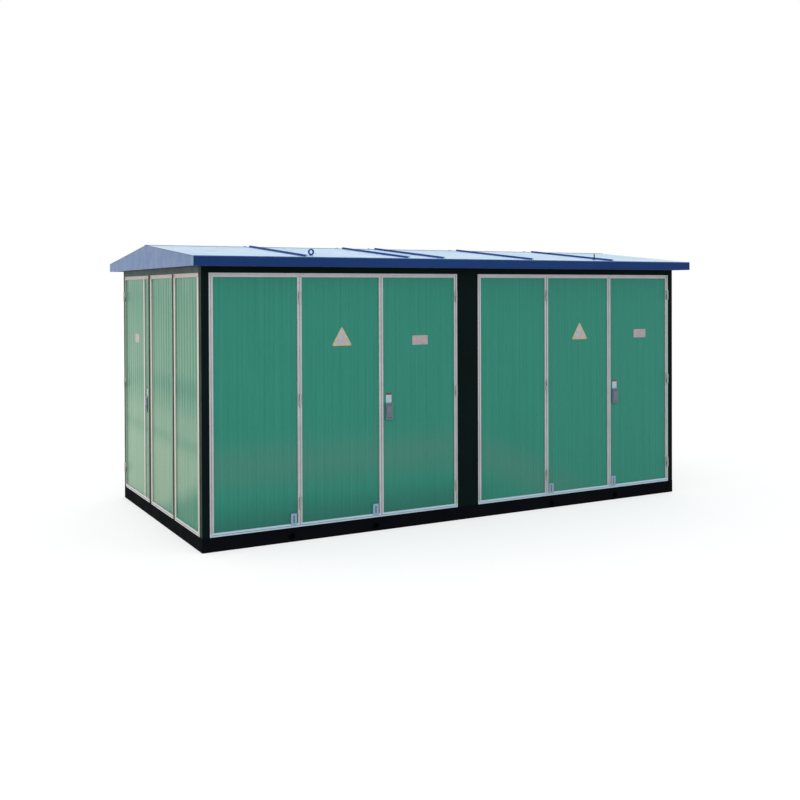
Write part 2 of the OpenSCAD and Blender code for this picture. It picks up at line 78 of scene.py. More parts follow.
# Noise on object coordinates, stretched by a scale for each axis
def grain(tree, scale, detail=3.0, roughness=0.55, stretch=(1.0, 1.0, 1.0)):
    where = place(tree, "TexCoord").outputs["Object"]
    turned = place(tree, "Mapping", {"Vector": where, "Scale": stretch}).outputs[0]
    inputs = {"Vector": turned, "Scale": scale, "Detail": detail, "Roughness": roughness}
    return place(tree, "TexNoise", inputs).outputs[0]


def newGroup(name, inputs, outputs):
    group = bpy.data.node_groups.new(name, "ShaderNodeTree")
    for label, value in inputs:
        socket = group.interface.new_socket(name=label, in_out="INPUT", socket_type="NodeSocketFloat")
        socket.default_value = value
    for label, kind in outputs:
        group.interface.new_socket(name=label, in_out="OUTPUT", socket_type="NodeSocket" + kind)
    return group, group.nodes.new("NodeGroupInput").outputs, group.nodes.new("NodeGroupOutput").inputs


def useGroup(tree, group, **values):
    made = tree.nodes.new("ShaderNodeGroup")
    made.node_tree = group
    for label, value in values.items():
        made.inputs[label].default_value = value
    return made.outputs


# Effects that several finishes share

# Where paint is rubbed on corners, and a normal that rounds them
def buildEdgeWear():
    group, given, out = newGroup("edgeWear", [("Radius", 0.002), ("Wear", 1.0)],
                                 [("Edge", "Float"), ("Normal", "Vector")])
    rounded = place(group, "Bevel", {"Radius": given["Radius"]}, samples=4).outputs[0]
    flat = place(group, "NewGeometry").outputs["True Normal"]
    facing = place(group, "VectorMath", {0: rounded, 1: flat}, operation="DOT_PRODUCT").outputs["Value"]
    bend = fade(group, facing, 0.995, 0.85)
    patches = fade(group, grain(group, 14.0, 5.0, 0.65), 0.45, 0.62, 0.25, 1.0)
    group.links.new(calc(group, "MULTIPLY", calc(group, "MULTIPLY", bend, patches), given["Wear"]), out["Edge"])
    group.links.new(rounded, out["Normal"])
    return group


# Dust near the ground and on ledges, run-off streaks, and broad clouds in a finish
def buildWeather():
    group, given, out = newGroup("weather", [("Height", 0.45), ("Dust", 0.5)],
                                 [("Dust", "Float"), ("Streak", "Float"), ("Cloud", "Float")])
    where = place(group, "TexCoord").outputs
    height = place(group, "SeparateXYZ", {0: where["Object"]}).outputs["Z"]
    upward = place(group, "SeparateXYZ", {0: where["Normal"]}).outputs["Z"]
    splash = fade(group, height, given["Height"], 0.0)
    mottled = calc(group, "MULTIPLY", splash, fade(group, grain(group, 7.0, 6.0, 0.65), 0.3, 0.7, 0.3, 1.0))
    ledge = calc(group, "MULTIPLY", fade(group, upward, 0.5, 0.95), 0.6)
    dust = calc(group, "MULTIPLY", calc(group, "MAXIMUM", mottled, ledge), given["Dust"])
    group.links.new(dust, out["Dust"])
    streak = fade(group, grain(group, 1.0, 4.0, 0.7, (28.0, 28.0, 0.55)), 0.35, 0.7)
    group.links.new(streak, out["Streak"])
    group.links.new(fade(group, grain(group, 1.6, 2.0, 0.5), 0.3, 0.7), out["Cloud"])
    return group


# Vertical beads pressed into the skin of a board: their height, and a line in each groove
def buildSkinRibs():
    group, given, out = newGroup("skinRibs", [("Pitch", 0.0205), ("Width", 0.3)],
                                 [("Height", "Float"), ("Groove", "Float")])
    part = place(group, "SeparateXYZ", {0: place(group, "TexCoord").outputs["Object"]}).outputs
    across = calc(group, "ADD", part["X"], part["Y"])
    saw = calc(group, "FRACT", calc(group, "DIVIDE", across, given["Pitch"]))
    toGroove = calc(group, "ABSOLUTE", calc(group, "SUBTRACT", saw, 0.5))
    groove = fade(group, toGroove, given["Width"], 0.0)
    group.links.new(groove, out["Groove"])
    group.links.new(calc(group, "SUBTRACT", 1.0, groove), out["Height"])
    return group


# Fine lengthwise lines that drawing leaves on an extrusion
def buildDrawnLines():
    group, given, out = newGroup("drawnLines", [("Fineness", 900.0)], [("Lines", "Float")])
    upLines = grain(group, given["Fineness"], 2.0, 0.6, (1.0, 1.0, 0.02))
    sideLines = grain(group, given["Fineness"], 2.0, 0.6, (0.02, 0.02, 1.0))
    normal = place(group, "SeparateXYZ", {0: place(group, "TexCoord").outputs["Normal"]}).outputs["Z"]
    lying = fade(group, calc(group, "ABSOLUTE", normal), 0.3, 0.8)
    lines = place(group, "Mix", {0: lying, 2: upLines, 3: sideLines}, data_type="FLOAT").outputs[0]
    group.links.new(lines, out["Lines"])
    return group


# Slow waves in thin sheet, seen in its reflections
def buildSheetWaves():
    group, given, out = newGroup("sheetWaves", [("Size", 2.2), ("Peel", 700.0)], [("Height", "Float")])
    waves = grain(group, given["Size"], 1.0, 0.4)
    peel = calc(group, "MULTIPLY", grain(group, given["Peel"], 1.0, 0.5), 0.02)
    group.links.new(calc(group, "ADD", waves, peel), out["Height"])
    return group


edgeWear = buildEdgeWear()
weather = buildWeather()
skinRibs = buildSkinRibs()
drawnLines = buildDrawnLines()
sheetWaves = buildSheetWaves()
print("shared effects built")


# Finishes

def newFinish(name, **constants):
    material = bpy.data.materials.new(name)
    material.use_nodes = True
    tree = material.node_tree
    shader = tree.nodes["Principled BSDF"]
    for label, value in constants.items():
        shader.inputs[label.replace("_", " ")].default_value = value
    return material, tree, shader.inputs


def bump(tree, height, distance, strength, normal):
    inputs = {"Height": height, "Distance": distance, "Strength": strength, "Normal": normal}
    return place(tree, "Bump", inputs).outputs[0]


# Paint on steel or sheet, with worn corners, dust and a slow wave. A look may name a pale tone streaked along the
# sheets, a painted reflection of the sky, another for upright faces, and one for what lies further out than its
# endsFrom: a paler tone, painted light for the sun falling on the ends
def paintedFinish(look, name):
    material, tree, shader = newFinish(name, Specular_IOR_Level=look["gloss"], Metallic=0.0)
    worn = useGroup(tree, edgeWear, Radius=look["corner"], Wear=look["wear"])
    soil = useGroup(tree, weather, Height=look["dustHeight"], Dust=look["dust"])
    paint = blendColour(tree, soil["Cloud"], look["paint"], look["paintPale"])
    faded = blendColour(tree, calc(tree, "MULTIPLY", soil["Streak"], look["streaks"]), paint, look["paintPale"])
    # A pale tone streaked along the sheets: painted reflection of the sky
    if "streakedReflection" in look:
        streakedReflection = fade(tree, grain(tree, 1.0, 5.0, 0.7, (1.3, 14.0, 14.0)), 0.42, 0.68, 0.0, 0.9)
        faded = blendColour(tree, streakedReflection, faded, look["streakedReflection"])
    dusty = blendColour(tree, soil["Dust"], faded, look["dustColour"])
    if "upright" in look:
        normal = place(tree, "TexCoord").outputs["Normal"]
        lying = place(tree, "SeparateXYZ", {0: normal}).outputs["Z"]
        dusty = blendColour(tree, fade(tree, lying, 0.6, 0.4), dusty, look["upright"])
    # A paler tone on the faces out at the ends: painted light for the sun falling on them
    if "ends" in look:
        spot = place(tree, "SeparateXYZ", {0: place(tree, "TexCoord").outputs["Object"]}).outputs
        faraway = calc(tree, "ABSOLUTE", spot["X"])
        atEnd = calc(tree, "MULTIPLY", fade(tree, faraway, look["endsFrom"] - 0.001, look["endsFrom"]),
                     fade(tree, spot["Z"], look["endsAbove"], look["endsAbove"] + 0.01))
        dusty = blendColour(tree, atEnd, dusty, look["ends"])
    tree.links.new(blendColour(tree, worn["Edge"], dusty, look["bare"]), shader["Base Color"])
    rough = fade(tree, grain(tree, 9.0, 4.0), 0.3, 0.7, look["rough"] - 0.06, look["rough"] + 0.08)
    tree.links.new(calc(tree, "ADD", rough, calc(tree, "MULTIPLY", soil["Dust"], 0.3)), shader["Roughness"])
    waves = useGroup(tree, sheetWaves, Size=look["waveSize"], Peel=650.0)["Height"]
    tree.links.new(bump(tree, waves, look["waveDepth"], 1.0, worn["Normal"]), shader["Normal"])
    return material


postLow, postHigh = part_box("corner_posts")
fasciaLow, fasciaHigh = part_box("fascias")
# The ends tone of the dark steel is painted light, paler where the sun falls on the posts' end faces
darkSteel = {"paint": (0.001, 0.0045, 0.0045, 1), "paintPale": (0.0015, 0.0065, 0.0065, 1),
             "bare": (0.03, 0.032, 0.03, 1), "dustColour": (0.03, 0.028, 0.022, 1), "gloss": 0.04,
             "corner": 0.002, "wear": 0.35, "dustHeight": 0.16, "dust": 0.06, "streaks": 0.4,
             "rough": 0.5, "waveSize": 5.0, "waveDepth": 0.002,
             "ends": (0.016, 0.03, 0.018, 1), "endsFrom": postHigh.x - 0.001, "endsAbove": postLow.z}
# The header's and the base's ends tones are painted light as well
headerSteel = dict(darkSteel, ends=(0.057, 0.085, 0.088, 1))
baseSteel = dict(darkSteel, paint=(0.0028, 0.0035, 0.0048, 1), paintPale=(0.004, 0.0048, 0.0064, 1), gloss=0.005,
                 rough=0.65, ends=(0.004, 0.0045, 0.0055, 1))
floorSteel = dict(darkSteel, paint=(0.09, 0.095, 0.1, 1), paintPale=(0.12, 0.125, 0.13, 1), dust=0.5,
                  dustColour=(0.12, 0.115, 0.1, 1), dustHeight=0.3, gloss=0.3, rough=0.6)
# The fascia's ends tone is painted light on its end faces
fasciaBlue = {"paint": (0.003, 0.0285, 0.137, 1), "paintPale": (0.0055, 0.037, 0.16, 1),
              "bare": (0.05, 0.1, 0.24, 1), "dustColour": (0.05, 0.08, 0.16, 1), "gloss": 0.12,
              "corner": 0.003, "wear": 0.4, "dustHeight": 0.3, "dust": 0.1, "streaks": 0.3,
              "rough": 0.38, "waveSize": 2.5, "waveDepth": 0.006,
              "ends": (0.13, 0.24, 0.4, 1), "endsFrom": fasciaHigh.x - 0.001, "endsAbove": 0.0}
# The gable is a paler copy of the fascia's blue: painted light for the sun on it
gableBlueSunlit = dict(fasciaBlue, paint=(0.062, 0.137, 0.305, 1), paintPale=(0.078, 0.15, 0.32, 1), gloss=0.3,
                 streaks=0.06,
                 bare=(0.2, 0.28, 0.42, 1), waveDepth=0.003, endsFrom=fasciaHigh.x + 1.0)
# The roof's blue is paler than the fascia's, partly a painted reflection of the sky, with paler painted reflection
# streaked along it
roofBlueAndReflection = dict(fasciaBlue, paint=(0.29, 0.52, 0.82, 1), paintPale=(0.44, 0.68, 0.92, 1),
                bare=(0.6, 0.7, 0.8, 1), dustColour=(0.55, 0.65, 0.75, 1), gloss=0.5, rough=0.3, dust=0.3, streaks=0.5,
                streakedReflection=(0.55, 0.78, 0.94, 1),
                upright=(0.003, 0.0285, 0.137, 1), endsFrom=fasciaHigh.x + 1.0)
seamBlue = dict(fasciaBlue, paint=(0.012, 0.06, 0.26, 1), paintPale=(0.018, 0.08, 0.3, 1), gloss=0.12,
                rough=0.5, endsFrom=fasciaHigh.x + 1.0)
lockGrey = {"paint": (0.1, 0.145, 0.178, 1), "paintPale": (0.125, 0.172, 0.205, 1),
            "bare": (0.32, 0.34, 0.36, 1), "dustColour": (0.2, 0.2, 0.19, 1), "gloss": 0.35,
            "corner": 0.0015, "wear": 0.6, "dustHeight": 0.3, "dust": 0.2, "streaks": 0.3,
            "rough": 0.42, "waveSize": 30.0, "waveDepth": 0.0008}
# The hinges' ends tone is painted light where the sun falls on the end
hingeGrey = dict(lockGrey, paint=(0.38, 0.37, 0.355, 1), paintPale=(0.44, 0.43, 0.41, 1), rough=0.45,
                 ends=(0.5, 0.48, 0.45, 1), endsFrom=postHigh.x + 0.002, endsAbove=0.0)
ceilingGrey = dict(floorSteel, paint=(0.06, 0.065, 0.075, 1), paintPale=(0.08, 0.085, 0.095, 1), dust=0.05)


# Green skin of the boards: faint upright streaks and beads with painted shade in their grooves, painted shade at the
# foot of the left half, and a band of painted reflection across it. The ends carry painted reflection and sheen:
# upright bands of painted highlight and shade, paler towards the foot and the rear, with a darker belt and line of
# painted reflection, and run-off marks under the roof. The inner side is pale
boardLook = {"green": (0.021, 0.214, 0.152, 1), "greenPale": (0.028, 0.244, 0.177, 1),
             "greenShade": (0.018, 0.142, 0.105, 1), "paintedLight": (0.115, 0.21, 0.172, 1),
             "inner": (0.5, 0.53, 0.5, 1), "dust": (0.12, 0.2, 0.16, 1),
             "streaks": 0.8, "shadeFrom": 0.45, "shadeTo": 0.16, "reflectionMiddle": 0.68, "reflectionFall": 0.42,
             "reflectionReach": 0.32, "reflectionWeight": 0.28, "beadPitch": 0.0205, "beadDepth": 0.00018,
             "grooveShade": 0.03, "mottle": 0.3, "gloss": 0.2}
# The end's pale tone, its bands, belt and line are painted reflection and sheen; its run-off marks are weathering
endLook = {"deep": (0.009, 0.195, 0.114, 1), "pale": (0.2, 0.352, 0.232, 1), "runOff": (0.36, 0.47, 0.42, 1),
           "face": postHigh.x - 0.04, "rear": 1.1, "top": 0.25, "rise": 0.1, "riseRear": 0.17, "low": 0.3,
           "lowest": 0.2, "belt": 0.4, "beltAt": 1.33, "beltWide": 0.15, "line": 0.2, "lineAt": 0.85,
           "lineWide": 0.09, "footSlope": 0.33, "footFrom": 0.42, "footTo": 0.68, "bandPitch": 0.082,
           "bands": 0.62, "jag": 0.22, "runFrom": 2.1, "runTo": 2.34}


# How much painted reflection and sheen lies on an end's board, from 0 to 1
def endReflection(tree, spot, look):
    rear = fade(tree, spot["Y"], -look["rear"], look["rear"])
    rise = fade(tree, spot["Z"], 2.3, 1.5)
    risen = calc(tree, "MULTIPLY", rise, calc(tree, "MULTIPLY_ADD", rear, look["riseRear"], look["rise"]))
    amount = calc(tree, "ADD", risen, look["top"])
    amount = calc(tree, "ADD", amount, fade(tree, spot["Z"], 1.2, 1.0, 0.0, look["low"]))
    amount = calc(tree, "ADD", amount, fade(tree, spot["Z"], 0.82, 0.68, 0.0, look["lowest"]))
    jagged = calc(tree, "MULTIPLY_ADD", grain(tree, 1.0, 2.0, 0.6, (34.0, 34.0, 0.02)), look["jag"], spot["Z"])
    fromBelt = calc(tree, "ABSOLUTE", calc(tree, "SUBTRACT", jagged, look["beltAt"] + look["jag"] / 2))
    belt = fade(tree, fromBelt, look["beltWide"], 0.0, 0.0, look["belt"])
    belt = calc(tree, "MULTIPLY", belt, calc(tree, "MULTIPLY_ADD", rear, -0.75, 1.0))
    fromLine = calc(tree, "ABSOLUTE", calc(tree, "SUBTRACT", spot["Z"], look["lineAt"]))
    line = fade(tree, fromLine, look["lineWide"], 0.0, 0.0, look["line"])
    amount = calc(tree, "SUBTRACT", calc(tree, "SUBTRACT", amount, belt), line)
    lifted = calc(tree, "MULTIPLY_ADD", calc(tree, "ADD", spot["Y"], -postLow.y), look["footSlope"], spot["Z"])
    amount = calc(tree, "MULTIPLY", amount, fade(tree, lifted, look["footFrom"], look["footTo"]))
    # Broad upright bands of painted highlight and shade, where the beads catch the light
    broad = useGroup(tree, skinRibs, Pitch=look["bandPitch"], Width=0.5)["Groove"]
    weight = fade(tree, spot["Z"], 1.0, 1.25, look["bands"] * 0.25, look["bands"])
    banded = calc(tree, "MULTIPLY", calc(tree, "SUBTRACT", broad, 0.5), weight)
    uneven = fade(tree, grain(tree, 1.0, 4.0, 0.7, (24.0, 24.0, 0.7)), 0.3, 0.7, -0.08, 0.08)
    return calc(tree, "ADD", calc(tree, "ADD", amount, banded), uneven)


def boardFinish(look, end):
    material, tree, shader = newFinish("boardGreen", Specular_IOR_Level=look["gloss"], Metallic=0.0)
    worn = useGroup(tree, edgeWear, Radius=0.0012, Wear=0.15)
    soil = useGroup(tree, weather, Height=0.28, Dust=0.1)
    ribs = useGroup(tree, skinRibs, Pitch=look["beadPitch"], Width=0.22)
    where = place(tree, "TexCoord").outputs
    spot = place(tree, "SeparateXYZ", {0: where["Object"]}).outputs
    streaked = calc(tree, "MULTIPLY", soil["Streak"], look["streaks"])
    green = blendColour(tree, streaked, look["green"], look["greenPale"])
    green = blendColour(tree, calc(tree, "MULTIPLY", soil["Cloud"], 0.3), green, look["greenPale"])
    mottle = fade(tree, grain(tree, 16.0, 4.0, 0.7, (1.6, 1.6, 0.8)), 0.4, 0.65, 0.0, look["mottle"])
    green = blendColour(tree, mottle, green, look["greenPale"])
    # Painted shade in the beads' grooves
    green = blendColour(tree, calc(tree, "MULTIPLY", ribs["Groove"], look["grooveShade"]), green, look["greenShade"])
    # Painted shade at the foot of the left half
    foot = calc(tree, "MULTIPLY", fade(tree, spot["Z"], look["shadeFrom"], look["shadeTo"]),
                fade(tree, spot["X"], 0.5, -0.2, 0.0, 0.75))
    green = blendColour(tree, foot, green, look["greenShade"])
    # A band of painted reflection across the front, falling lower towards the right
    fall = calc(tree, "MULTIPLY", calc(tree, "MAXIMUM", spot["X"], 0.0), look["reflectionFall"])
    above = calc(tree, "SUBTRACT", calc(tree, "ADD", spot["Z"], fall), look["reflectionMiddle"])
    away = calc(tree, "ABSOLUTE", above)
    paintedLight = calc(tree, "MULTIPLY", fade(tree, away, look["reflectionReach"], 0.0, 0.0, look["reflectionWeight"]),
                fade(tree, spot["X"], 2.2, 0.6))
    green = blendColour(tree, paintedLight, green, look["paintedLight"])
    atEnd = fade(tree, calc(tree, "ABSOLUTE", spot["X"]), end["face"], end["face"] + 0.01)
    reflectedTone = blendColour(tree, endReflection(tree, spot, end), end["deep"], end["pale"])
    runs = fade(tree, grain(tree, 1.0, 3.0, 0.6, (60.0, 60.0, 0.4)), 0.5, 0.62, 0.0, 0.5)
    high = calc(tree, "MULTIPLY", fade(tree, spot["Z"], end["runFrom"], end["runTo"]), runs)
    green = blendColour(tree, atEnd, green, blendColour(tree, high, reflectedTone, end["runOff"]))
    green = blendColour(tree, soil["Dust"], green, look["dust"])
    outward = place(tree, "VectorMath", {0: where["Object"], 1: (0.35, 1.2, 0.0)}, operation="MULTIPLY").outputs[0]
    facing = place(tree, "VectorMath", {0: outward, 1: where["Normal"]}, operation="DOT_PRODUCT").outputs["Value"]
    tree.links.new(blendColour(tree, fade(tree, facing, -0.2, -0.3), green, look["inner"]), shader["Base Color"])
    rough = fade(tree, grain(tree, 1.0, 3.0, 0.6, (40.0, 40.0, 1.2)), 0.3, 0.7, 0.28, 0.38)
    tree.links.new(calc(tree, "ADD", rough, calc(tree, "MULTIPLY", soil["Dust"], 0.4)), shader["Roughness"])
    waves = useGroup(tree, sheetWaves, Size=3.0, Peel=500.0)["Height"]
    wavy = bump(tree, waves, 0.005, 1.0, worn["Normal"])
    tree.links.new(bump(tree, ribs["Height"], look["beadDepth"], 1.0, wavy), shader["Normal"])
    return material


# Mill finish extrusion, with drawn lines and a soft grey oxide
# The ends' trims are painted whiter, a painted light for the sun on them, duller under the roof with painted shade,
# and some of their uprights carry painted shade in the board's green
aluminiumLook = {"metal": (0.485, 0.485, 0.508, 1), "oxide": (0.4, 0.4, 0.41, 1), "edge": (0.6, 0.6, 0.61, 1),
                 "dust": (0.36, 0.34, 0.31, 1), "sill": (0.46, 0.59, 0.69, 1), "sillTop": 0.158,
                 "ends": (0.63, 0.58, 0.53, 1), "endsFrom": postHigh.x - 0.002, "endTops": (0.36, 0.32, 0.28, 1),
                 "topsFrom": 2.309, "paintedLight": (0.09, 0.24, 0.15, 1), "shadedUprights": [-0.472, 0.343, 1.246],
                 "shadedUprightWide": 0.019, "shadedUprightLow": 0.16, "lineDepth": 0.00006}


# The painted light and shade on the trims of the ends, and where it lies
def endTrimLitTone(tree, spot, look):
    tone = blendColour(tree, fade(tree, spot["Z"], look["topsFrom"] - 0.001, look["topsFrom"]),
                       look["ends"], look["endTops"])
    # Painted shade in the board's green on some of the uprights
    upright = calc(tree, "COMPARE", spot["Y"], look["shadedUprights"][0], look["shadedUprightWide"])
    for middle in look["shadedUprights"][1:]:
        upright = calc(tree, "MAXIMUM", upright, calc(tree, "COMPARE", spot["Y"], middle, look["shadedUprightWide"]))
    between = calc(tree, "MULTIPLY", calc(tree, "GREATER_THAN", spot["Z"], look["shadedUprightLow"]),
                   calc(tree, "LESS_THAN", spot["Z"], look["topsFrom"]))
    tone = blendColour(tree, calc(tree, "MULTIPLY", upright, between), tone, look["paintedLight"])
    where = fade(tree, calc(tree, "ABSOLUTE", spot["X"]), look["endsFrom"], look["endsFrom"] + 0.001, 0.0, 0.85)
    return where, tone


def aluminiumFinish(look, name, metallic, rough):
    material, tree, shader = newFinish(name, Metallic=metallic, Specular_IOR_Level=0.4)
    worn = useGroup(tree, edgeWear, Radius=0.0015, Wear=0.8)
    soil = useGroup(tree, weather, Height=0.35, Dust=0.35)
    lines = useGroup(tree, drawnLines, Fineness=900.0)["Lines"]
    oxide = fade(tree, grain(tree, 5.0, 6.0, 0.7), 0.4, 0.65)
    metal = blendColour(tree, calc(tree, "MULTIPLY", oxide, 0.6), look["metal"], look["oxide"])
    metal = blendColour(tree, fade(tree, lines, 0.55, 0.75, 0.0, 0.3), metal, look["oxide"])
    metal = blendColour(tree, soil["Dust"], metal, look["dust"])
    spot = place(tree, "SeparateXYZ", {0: place(tree, "TexCoord").outputs["Object"]}).outputs
    atEnd, tone = endTrimLitTone(tree, spot, look)
    metal = blendColour(tree, atEnd, metal, tone)
    # The aluminium below the sill's top is painted pale blue: painted reflection of the sky
    atSill = calc(tree, "MULTIPLY", fade(tree, spot["Z"], look["sillTop"] + 0.001, look["sillTop"]),
                  calc(tree, "SUBTRACT", 1.0, atEnd))
    metal = blendColour(tree, atSill, metal, look["sill"])
    tree.links.new(blendColour(tree, worn["Edge"], metal, look["edge"]), shader["Base Color"])
    tree.links.new(fade(tree, lines, 0.3, 0.7, rough - 0.05, rough + 0.08), shader["Roughness"])
    tree.links.new(bump(tree, lines, look["lineDepth"], 0.6, worn["Normal"]), shader["Normal"])
    return material


# The stops are a paler copy of the trims' aluminium: painted light, so that the gaps round the leaves don't read dark
stopLitLook = dict(aluminiumLook, metal=(0.72, 0.71, 0.7, 1), oxide=(0.62, 0.61, 0.6, 1))
brightLook = dict(aluminiumLook, metal=(0.25, 0.38, 0.52, 1), oxide=(0.19, 0.3, 0.43, 1), sillTop=-1.0)

finishes = {
    "dark_steel": paintedFinish(darkSteel, "steelBlack"),
    "floor_steel": paintedFinish(floorSteel, "floorGrey"),
    "aluminium": aluminiumFinish(aluminiumLook, "aluminiumMill", 0.35, 0.42),
    "green_board": boardFinish(boardLook, endLook),
    "hardware_dark": paintedFinish(hingeGrey, "hingeGrey"),
    "hardware_bright": aluminiumFinish(brightLook, "boltBright", 0.5, 0.35),
    "lock_grey": paintedFinish(lockGrey, "lockGrey"),
    "fascia_blue": paintedFinish(fasciaBlue, "fasciaBlue"),
    "roof_blue": paintedFinish(roofBlueAndReflection, "roofBlueAndReflection"),
    "seam_blue": paintedFinish(seamBlue, "seamBlue"),
    "ceiling_grey": paintedFinish(ceilingGrey, "ceilingGrey"),
}
ownFinishes = {"gable_ends": paintedFinish(gableBlueSunlit, "gableBlueSunlit"),
               "headers": paintedFinish(headerSteel, "headerBlack"),
               "base_frame": paintedFinish(baseSteel, "baseBlack")}
stopLitFinish = aluminiumFinish(stopLitLook, "stopBright", 0.2, 0.4)
for node in ["front_stops", "rear_stops", "end_stops"]:
    ownFinishes[node] = stopLitFinish
for part in frame["record"]["subparts"]:
    mesh = frame["nodes"][part["node"]].data
    mesh.materials.clear()
    mesh.materials.append(ownFinishes.get(part["node"], finishes[part["material_slot"]]))
print("finishes placed on every node")


# Sign plates, labels and small fixings

# Plain finish of a printed or enamelled plate, with a slight fade and scratches
def plateFinish(name, colour, rough=0.4):
    material, tree, shader = newFinish(name, Specular_IOR_Level=0.4, Metallic=0.0)
    worn = useGroup(tree, edgeWear, Radius=0.0008, Wear=0.5)
    pale = tuple(min(1.0, c * 1.15 + 0.02) for c in colour[:3]) + (1,)
    mottle = fade(tree, grain(tree, 25.0, 5.0, 0.6), 0.35, 0.7)
    scratch = fade(tree, grain(tree, 60.0, 3.0, 0.6, (6.0, 6.0, 0.4)), 0.62, 0.72, 0.0, 0.3)
    face = blendColour(tree, mottle, colour, pale)
    face = blendColour(tree, scratch, face, (0.5, 0.5, 0.5, 1))
    tree.links.new(blendColour(tree, worn["Edge"], face, (0.5, 0.5, 0.5, 1)), shader["Base Color"])
    tree.links.new(fade(tree, mottle, 0.0, 1.0, rough - 0.05, rough + 0.1), shader["Roughness"])
    tree.links.new(bump(tree, mottle, 0.0001, 0.5, worn["Normal"]), shader["Normal"])
    return material


plateFinishes = {
    "signFace": plateFinish("signFace", (0.39, 0.375, 0.38, 1)),
    "signEdge": plateFinish("signEdge", (0.52, 0.38, 0.16, 1)),
    "nameFace": plateFinish("nameFace", (0.36, 0.3, 0.305, 1)),
    "labelFace": plateFinish("labelFace", (0.35, 0.46, 0.53, 1), 0.5),
    "labelBand": plateFinish("labelBand", (0.32, 0.004, 0.01, 1), 0.5),
    "labelLine": plateFinish("labelLine", (0.02, 0.018, 0.022, 1), 0.5),
    "rivet": aluminiumFinish(brightLook, "rivetMetal", 0.6, 0.35),
}


# Turns a piece drawn flat, facing +Z, onto the front or the left end: the point is on the wall's surface
def ontoWall(wall, point):
    columns = {"front": ((1, 0, 0), (0, 0, 1), (0, -1, 0)), "left": ((0, -1, 0), (0, 0, 1), (-1, 0, 0))}[wall]
    turn = Matrix(columns).transposed().to_4x4()
    return Matrix.Translation(point) @ turn


def addPiece(name, bm, materials, body, smooth=False):
    bmesh.ops.recalc_face_normals(bm, faces=bm.faces[:])
    mesh = bpy.data.meshes.new(name)
    bm.to_mesh(mesh)
    bm.free()
    for material in materials:
        mesh.materials.append(material)
    for face in mesh.polygons:
        face.use_smooth = smooth
    piece = bpy.data.objects.new(name, mesh)
    scene.collection.objects.link(piece)
    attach(piece, body)
    return piece


# Thickens a flat outline upwards from z = 0 and returns the top face
def raiseOutline(bm, faces, thick):
    raised = bmesh.ops.extrude_face_region(bm, geom=faces, use_keep_orig=True)["geom"]
    moved = [g for g in raised if isinstance(g, bmesh.types.BMVert)]
    bmesh.ops.translate(bm, vec=(0, 0, thick), verts=moved)
    return [g for g in raised if isinstance(g, bmesh.types.BMFace)]


# Flat plate with rounded corners and a raised or sunk middle, as one closed mesh
def flatPlate(outline, thick, rim, dip, rimIndex=0):
    bm = bmesh.new()
    if outline["corners"] == 3:
        bmesh.ops.create_circle(bm, cap_ends=True, radius=outline["side"] / math.sqrt(3), segments=3)
        lowest = min(bm.verts, key=lambda v: v.co.y).co.copy()
        turn = math.radians(-90) - math.atan2(lowest.y, lowest.x) + math.radians(60)
        bmesh.ops.rotate(bm, cent=(0, 0, 0), matrix=Matrix.Rotation(turn, 3, "Z"), verts=bm.verts[:])
    else:
        bmesh.ops.create_grid(bm, x_segments=1, y_segments=1, size=0.5)
        bmesh.ops.scale(bm, vec=(outline["width"], outline["height"], 1), verts=bm.verts[:])
    bmesh.ops.bevel(bm, geom=bm.verts[:], offset=outline["round"], offset_type="OFFSET", segments=5,
                    profile=0.5, affect="VERTICES", material=-1)
    top = raiseOutline(bm, bm.faces[:], thick)
    rimFaces = bmesh.ops.inset_region(bm, faces=top, thickness=rim, depth=0.0)["faces"]
    for face in rimFaces:
        face.material_index = rimIndex
    bmesh.ops.inset_region(bm, faces=top, thickness=abs(dip), depth=dip)
    return bm


# Adds a domed head, sunk a hair into the face that carries it, with a socket or slot if it has a driver
def addHead(bm, point, head, index):
    made = bmesh.ops.create_circle(bm, cap_ends=True, radius=head["radius"], segments=head["sides"])["verts"]
    bmesh.ops.translate(bm, vec=Vector(point) - Vector((0, 0, head["sunk"])), verts=made)
    before = set(bm.faces)
    disc = list({face for vert in made for face in vert.link_faces})
    top = raiseOutline(bm, disc, head["sunk"] + head["tall"] * 0.55)
    bmesh.ops.inset_region(bm, faces=top, thickness=head["radius"] * 0.3, depth=head["tall"] * 0.45)
    if head["driver"]:
        bmesh.ops.inset_region(bm, faces=top, thickness=head["radius"] * 0.2, depth=0.0)
        bmesh.ops.inset_region(bm, faces=top, thickness=head["radius"] * 0.05, depth=-head["tall"] * 0.5)
    for face in (set(bm.faces) - before) | set(disc):
        face.material_index = index


rivetHead = {"radius": 0.003, "tall": 0.0013, "sunk": 0.0001, "sides": 14, "driver": False}
smallRivet = dict(rivetHead, radius=0.0024, tall=0.001)
screwHead = {"radius": 0.0028, "tall": 0.0015, "sunk": 0.0001, "sides": 14, "driver": True}


# Places of the plates: the middle of each, from the middle of the front, and for the end from the middle of its depth
plateSizes = {"thick": 0.0016, "rim": 0.0035, "dip": -0.0004, "rivetIn": 0.009}
triangles = {"side": 0.2, "corners": 3, "round": 0.016, "rim": 0.011}
namePlates = {"width": 0.165, "height": 0.087, "corners": 4, "round": 0.006, "middle": 1.7285}
lockLabels = {"width": 0.058, "height": 0.09, "corners": 4, "round": 0.003, "band": 0.2, "line": 0.055, "gap": 0.001}


def boxMiddle(node):
    low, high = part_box(node)
    return (low + high) / 2


